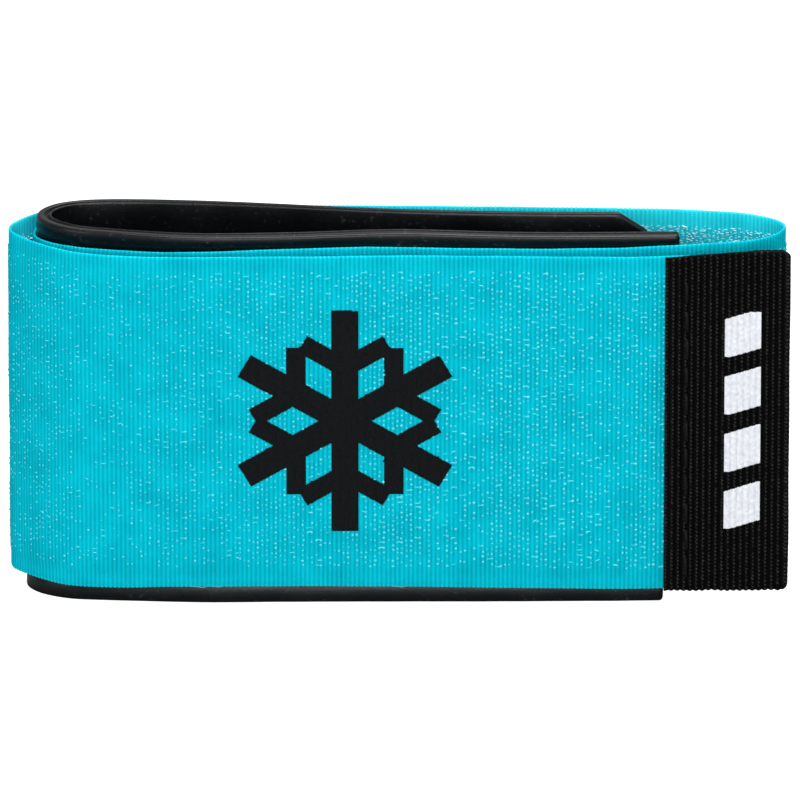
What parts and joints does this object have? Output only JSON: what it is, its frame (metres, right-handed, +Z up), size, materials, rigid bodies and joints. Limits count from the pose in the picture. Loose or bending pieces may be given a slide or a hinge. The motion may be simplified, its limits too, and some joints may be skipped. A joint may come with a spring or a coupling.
{
  "type": "hook-and-loop ski strap",
  "caption": "Hook-and-loop strap for a pair of skis, rolled for storage round its folded rubber divider pad, with a webbing pull tab.",
  "frame": {"origin": "centre of the rolled strap's bounding box on the surface it stands on, level with the rubber pad's lower edge", "axes": "+X along the roll towards the pull tab, +Y through the roll away from the front run, +Z up along the band's width"},
  "size_m": [0.1113, 0.0234, 0.0552],
  "materials": {
    "band_weave": "woven nylon, ribbed, slight sheen",
    "loop_pile": "brushed loop pile with pale specks",
    "hook_field": "moulded hooks on weave, glossy pale tips",
    "rubber_pad": "satin moulded rubber, faint dust on the edges",
    "webbing": "ribbed black webbing",
    "thread": "black lockstitch thread",
    "dark_ink": "matte screen print in the pile",
    "white_ink": "matte raised screen print"
  },
  "bodies": {
    "core": {"left_wrap": "band_weave", "back_run": "band_weave", "right_wrap": "band_weave", "under_run": "band_weave", "core_loops": "loop_pile", "core_hooks": "hook_field", "pad_front_limb": "rubber_pad", "pad_front_seam": "thread"},
    "pad_back": {"pad_back_limb": "rubber_pad", "inner_run": "band_weave", "inner_loops": "loop_pile", "inner_hooks": "hook_field", "pad_back_seam": "thread"},
    "flap_root": {"flap_root": "band_weave", "flap_root_loops": "loop_pile", "flap_root_hooks": "hook_field"},
    "flap_middle": {"flap_middle": "band_weave", "flap_middle_loops": "loop_pile", "flap_middle_hooks": "hook_field", "band_print": "dark_ink"},
    "flap_end": {"flap_end": "band_weave", "flap_end_loops": "loop_pile", "flap_end_hooks": "hook_field", "tab_base": "webbing", "tab_seam": "thread"},
    "tab": {"pull_tab": "webbing", "tab_print": "white_ink"}
  },
  "joints": [
    {"name": "flap_open", "type": "hinge", "parent": "core", "child": "flap_root", "pos_m": [-0.036, -0.0115, 0.0286], "axis": [0, 0, -1], "range_deg": [0, 70]},
    {"name": "flap_bend_middle", "type": "hinge", "parent": "flap_root", "child": "flap_middle", "pos_m": [-0.027, -0.0115, 0.0286], "axis": [0, 0, -1], "range_deg": [0, 50]},
    {"name": "flap_bend_end", "type": "hinge", "parent": "flap_middle", "child": "flap_end", "pos_m": [0.014, -0.0115, 0.0286], "axis": [0, 0, -1], "range_deg": [0, 40]},
    {"name": "tab_lift", "type": "hinge", "parent": "flap_end", "child": "tab", "pos_m": [0.04405, -0.01101, 0.0286], "axis": [0, 0, -1], "range_deg": [0, 60]},
    {"name": "pad_squeeze", "type": "hinge", "parent": "core", "child": "pad_back", "pos_m": [-0.04965, 0.00257, 0.0276], "axis": [0, 0, -1], "range_deg": [0, 3.5], "stiffness_Nm_per_rad": 0.05}
  ],
  "couplings": [
    {"joint": "flap_bend_middle", "follows": "flap_open", "ratio": 0.71429},
    {"joint": "flap_bend_end", "follows": "flap_open", "ratio": 0.57143}
  ]
}
